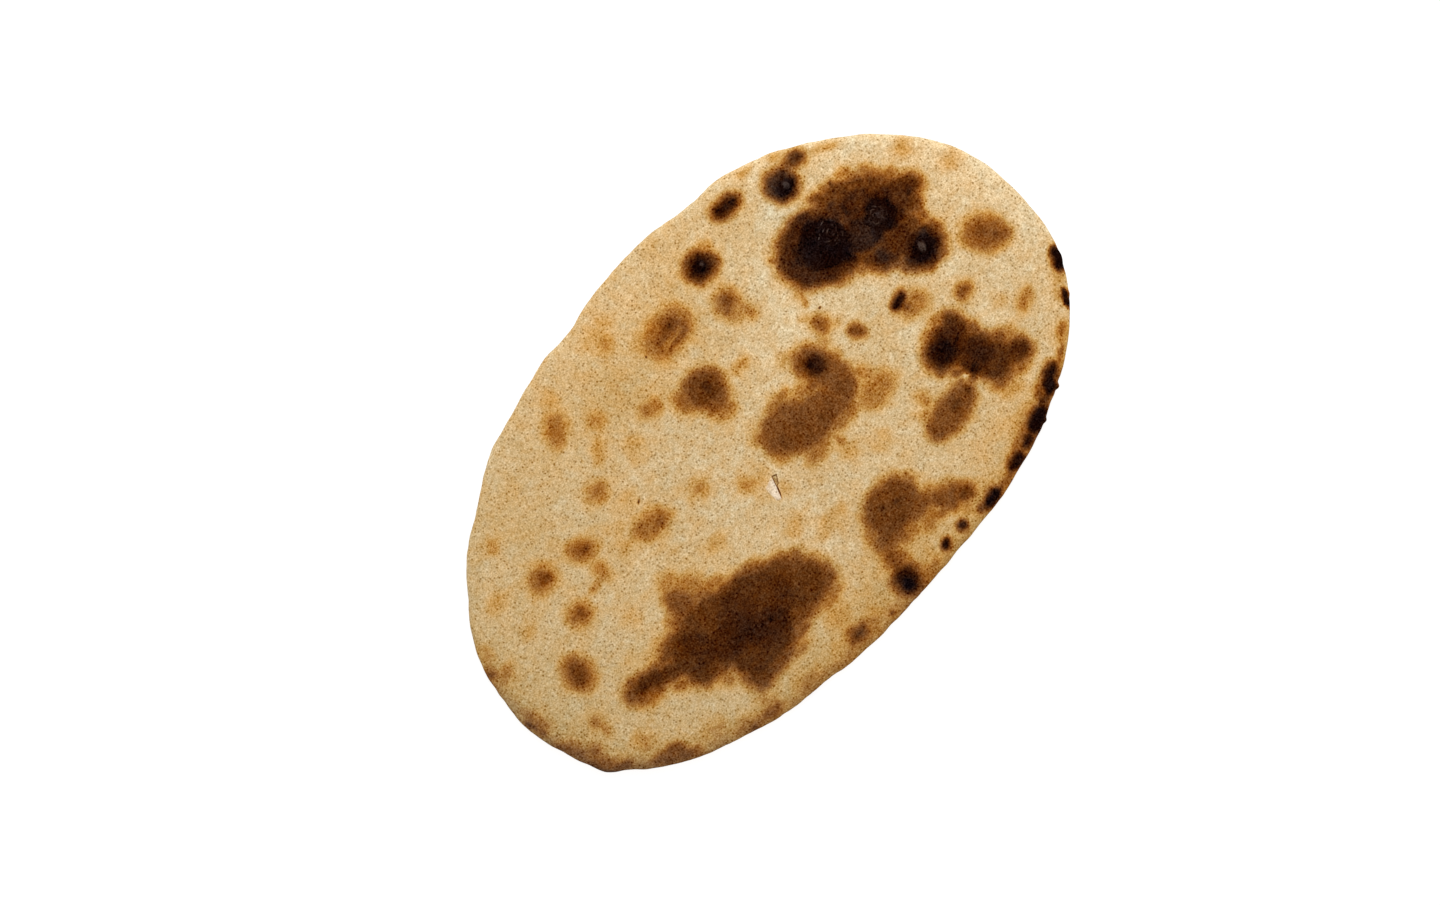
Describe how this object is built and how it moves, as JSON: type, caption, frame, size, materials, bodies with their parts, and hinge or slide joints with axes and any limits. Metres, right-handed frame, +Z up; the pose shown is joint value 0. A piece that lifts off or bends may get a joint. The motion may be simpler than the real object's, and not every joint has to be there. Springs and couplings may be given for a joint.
{
  "type": "tandoor bread",
  "caption": "Flat oval wholemeal bread baked on an oven wall, with a rounded uneven rim, low puffs and scorched blisters, lying on its flat underside.",
  "frame": {"origin": "on the resting surface, under the middle of the bread's bounding box", "axes": "+X along the bread's long axis, +Y along its short axis, +Z up out of the blistered top skin"},
  "size_m": [0.28, 0.171, 0.0104],
  "materials": {
    "crust": "matte wholemeal crust, pale tan with bran flecks, scorched brown and black in patches"
  },
  "bodies": {
    "root": {"bread": "crust"}
  },
  "joints": []
}
